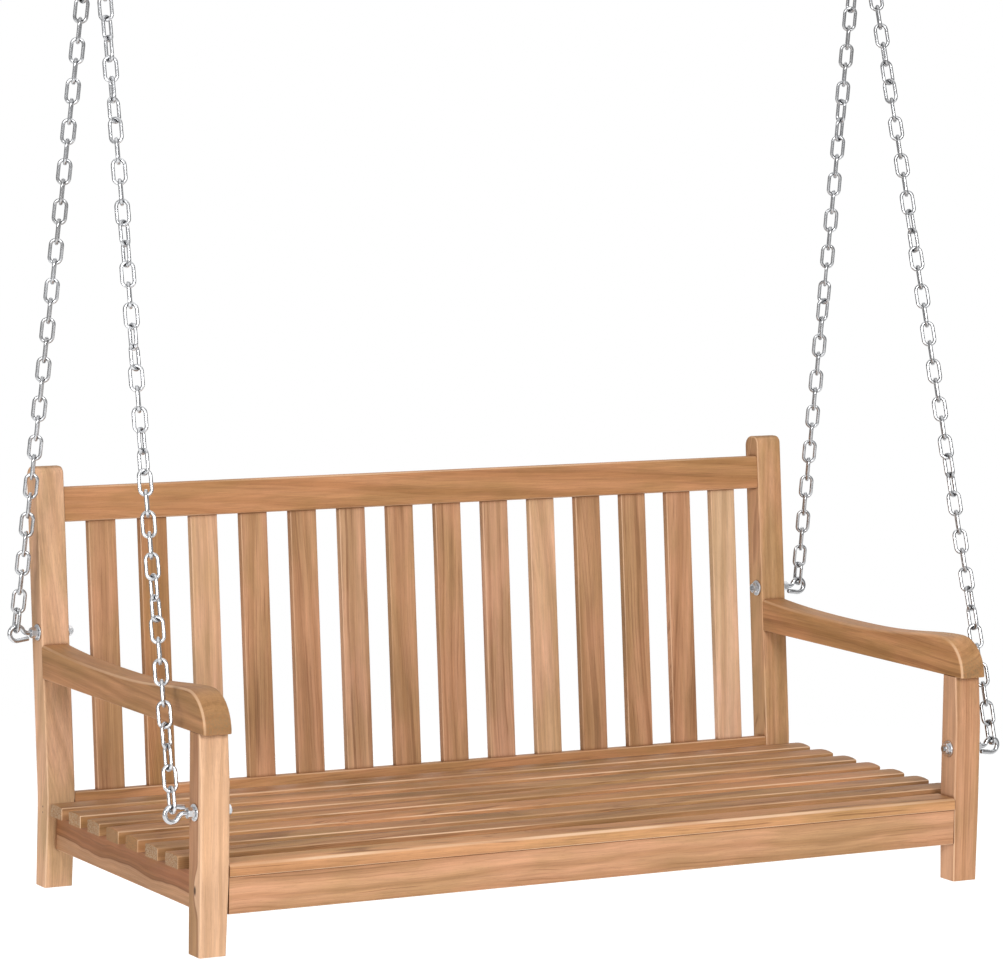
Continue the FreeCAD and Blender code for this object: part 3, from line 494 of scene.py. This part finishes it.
def steel(name, bright, dull, roughness, seed, grime=0.0):
    """Soft bright metal with faint mottling, tiny scuffs and, by grime, dull patches."""
    g = Graph(name)
    coords = g.add("TexCoord").outputs["Object"]
    mottle = g.noise(coords, MOTTLE, seed)
    scuff = g.noise(coords, SCUFF, seed)
    patch = g.noise(coords, PATCH, seed)
    colour = g.mix(g.span(mottle, *MOTTLE_RANGE), bright, dull)
    colour = g.mix(g.span(patch, *PATCH_RANGE, 0.0, grime), colour, GREY_FILM)
    # painted shade where the links and parts touch
    colour = g.paint_crevice_shade(colour, STEEL_CREVICE_SHADE)
    rough = g.math("MULTIPLY_ADD", mottle, MOTTLE_ROUGHNESS, roughness)
    rough = g.math("MULTIPLY_ADD", g.span(scuff, *SCUFF_RANGE), SCUFF_ROUGHNESS, rough)
    return g.finish(colour, rough, mottle, STEEL_BUMP, STEEL_RELIEF, metallic=1.0)


# ---------------------------------------------------------------- dressing the nodes

def dress(node, material):
    """Gives a CAD node its material."""
    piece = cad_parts[node]
    for slot in piece.material_slots:
        slot.material = material


def dress_wood():
    draw = random.Random(DRAW_SEED)

    def board(node, grain, tone, **more):
        """Dresses a node in teak. Whatever isn't given about its log is drawn."""
        seed = draw.uniform(*SEEDS)
        pith = (draw.uniform(*PITH_Y), draw.choice((-1, 1)) * draw.uniform(*PITH_Z))
        more.setdefault("pith", pith)
        more.setdefault("ring", draw.uniform(*RING_WIDTHS))
        more.setdefault("slope", (draw.uniform(*SLOPE_Y), draw.uniform(*SLOPE_Z)))
        dress(node, teak(node, grain, tone, seed, **more))

    board("front_post_left", "upright", "honey", streaks=0.4, sap=(0.050, "pale"), pith=(0.030, 0.050),
          slope=(0.0, 0.0), wander=0.012, knots=(((-0.600, -0.262, 0.085), 0.004, 1.0),))
    board("front_post_right", "upright", "honey", streaks=0.3, sap=(0.0695, "rose"), rim=0.0,
          pith=(-0.030, -0.050), slope=(0.0, 0.0), wander=0.006)
    board("rear_post_left", "upright", "pale", streaks=0.2, lines=0.2)
    board("rear_post_right", "upright", "straw", streaks=0.5)
    board("arm_left", "deep", "amber", streaks=0.45, lines=0.25)
    board("arm_right", "deep", "gold", streaks=0.35, lines=0.25)
    board("top_rail", "across", "tan", streaks=0.2, slope=(0.03, 0.05), lines=0.2,
          knots=(((0.300, 0.215, 0.530), 0.003, 0.3),))
    board("lower_back_rail", "across", "tan")
    board("front_apron", "across", "honey", streaks=0.6, waves=3.0)
    board("rear_seat_rail", "across", "amber")
    board("centre_bearer", "deep", "honey")
    board("side_rail_left", "deep", "russet", sap=(0.062, "honey"), pith=(0.0, 0.055), slope=(0.0, 0.0),
          wander=0.032, waves=6.0)
    board("side_rail_right", "deep", "russet")
    for number, tone in enumerate(BACK_SLATS, start=1):
        marks = FAINT_MARKS if tone in FAINT_TONES else CLEAR_MARKS
        board("back_slat_%02d" % number, "reclined", tone, streaks=marks, lines=marks)
    for number, (tone, dry) in enumerate(SEAT_SLATS, start=1):
        board("seat_slat_%d" % number, "across", tone, streaks=0.40, lines=0.7, edges=0.8, dry=dry)


def dress_steel():
    for node, plating in PLATINGS.items():
        bright = tuple(plating.share * part for part in ZINC)
        dull = tuple(DULL_SHARE * plating.share * part for part in ZINC)
        seed = len(node) * STEEL_SEED
        dress(node, steel("zinc_" + node, bright, dull, plating.roughness, seed, plating.grime))
    dress("slat_screws", steel("plain_screws", *SCREW_METAL))
    dress("post_pins", steel("dark_pins", *PIN_METAL))


# ---------------------------------------------------------------- stage, light and camera

def floor_look():
    """Pale and faintly glowing, and clear from FLOOR_R outwards."""
    g = Graph("pale_floor")
    coords = g.add("TexCoord").outputs["Object"]
    cloud = g.noise(coords, FLOOR_CLOUD, FLOOR_SEED)
    colour = g.mix(cloud, *FLOOR_TONES)
    roughness = g.math("MULTIPLY_ADD", cloud, FLOOR_CLOUD_ROUGHNESS, FLOOR_ROUGHNESS)
    material = g.finish(colour, roughness, cloud, FLOOR_BUMP, FLOOR_RELIEF)
    distance = g.vector("LENGTH", g.vector("MULTIPLY", coords, (1.0, 1.0, 0.0)))
    shader = g.tree.nodes["Principled BSDF"]
    shader.inputs["Emission Color"].default_value = WHITE
    shader.inputs["Emission Strength"].default_value = FLOOR_GLOW
    g.feed(shader.inputs["Alpha"], g.span(distance, FLOOR_R * FLOOR_FADE, FLOOR_R, 1.0, 0.0))
    return material


def make_floor():
    """A pale floor that fades out, in a circle, into the white surroundings."""
    mesh = bpy.data.meshes.new("floor")
    corners = [(x * FLOOR_R, y * FLOOR_R, -FLOOR_DROP) for x, y in ((-1, -1), (1, -1), (1, 1), (-1, 1))]
    mesh.from_pydata(corners, [], [(0, 1, 2, 3)])
    mesh.materials.append(floor_look())
    floor = bpy.data.objects.new("floor", mesh)
    bpy.context.scene.collection.objects.link(floor)


def make_sky():
    """A bright ceiling over dim walls lights the scene, and the camera sees plain white."""
    world = bpy.data.worlds.new("studio")
    bpy.context.scene.world = world
    world.use_nodes = True
    tree = world.node_tree
    tree.nodes.clear()
    new = tree.nodes.new
    link = tree.links.new
    coords = new("ShaderNodeTexCoord")
    parts = new("ShaderNodeSeparateXYZ")
    height = new("ShaderNodeMapRange")
    height.interpolation_type = "SMOOTHSTEP"
    height.inputs["From Min"].default_value = CEILING_START
    height.inputs["To Max"].default_value = CEILING
    ray = new("ShaderNodeLightPath")
    sides = new("ShaderNodeMapRange")
    sides.inputs["To Min"].default_value = WALLS
    sides.inputs["To Max"].default_value = WALLS_MIRRORED
    light = new("ShaderNodeBackground")
    white = new("ShaderNodeBackground")
    for background in (light, white):
        background.inputs["Color"].default_value = WHITE
    choice = new("ShaderNodeMixShader")
    output = new("ShaderNodeOutputWorld")
    link(coords.outputs["Generated"], parts.inputs[0])
    link(parts.outputs["Z"], height.inputs["Value"])
    link(ray.outputs["Is Glossy Ray"], sides.inputs["Value"])
    link(sides.outputs[0], height.inputs["To Min"])
    link(height.outputs[0], light.inputs["Strength"])
    link(ray.outputs["Is Camera Ray"], choice.inputs[0])
    link(light.outputs[0], choice.inputs[1])
    link(white.outputs[0], choice.inputs[2])
    link(choice.outputs[0], output.inputs["Surface"])


def make_lights():
    for name, box in SOFT_BOXES.items():
        data = bpy.data.lights.new(name, "AREA")
        data.shape = "RECTANGLE"
        data.size = box.width
        data.size_y = box.height
        data.energy = box.power
        lamp = bpy.data.objects.new(name, data)
        bpy.context.scene.collection.objects.link(lamp)
        lamp.location = box.place
        lamp.rotation_euler = (LIT_PLACE - Vector(box.place)).to_track_quat("-Z", "Y").to_euler()


def make_camera():
    data = bpy.data.cameras.new("camera")
    data.lens = CAMERA_LENS
    data.shift_y = CAMERA_SHIFT
    camera = bpy.data.objects.new("camera", data)
    bpy.context.scene.collection.objects.link(camera)
    turn = (Matrix.Rotation(CAMERA_AZIMUTH, 4, "Z")
            @ Matrix.Rotation(math.pi / 2 - CAMERA_ELEVATION, 4, "X")
            @ Matrix.Rotation(CAMERA_ROLL, 4, "Z"))
    camera.matrix_world = Matrix.Translation(CAMERA_PLACE) @ turn
    bpy.context.scene.camera = camera


dress_wood()
dress_steel()
make_floor()
make_sky()
make_lights()
make_camera()
bpy.context.scene.view_settings.view_transform = "Standard"
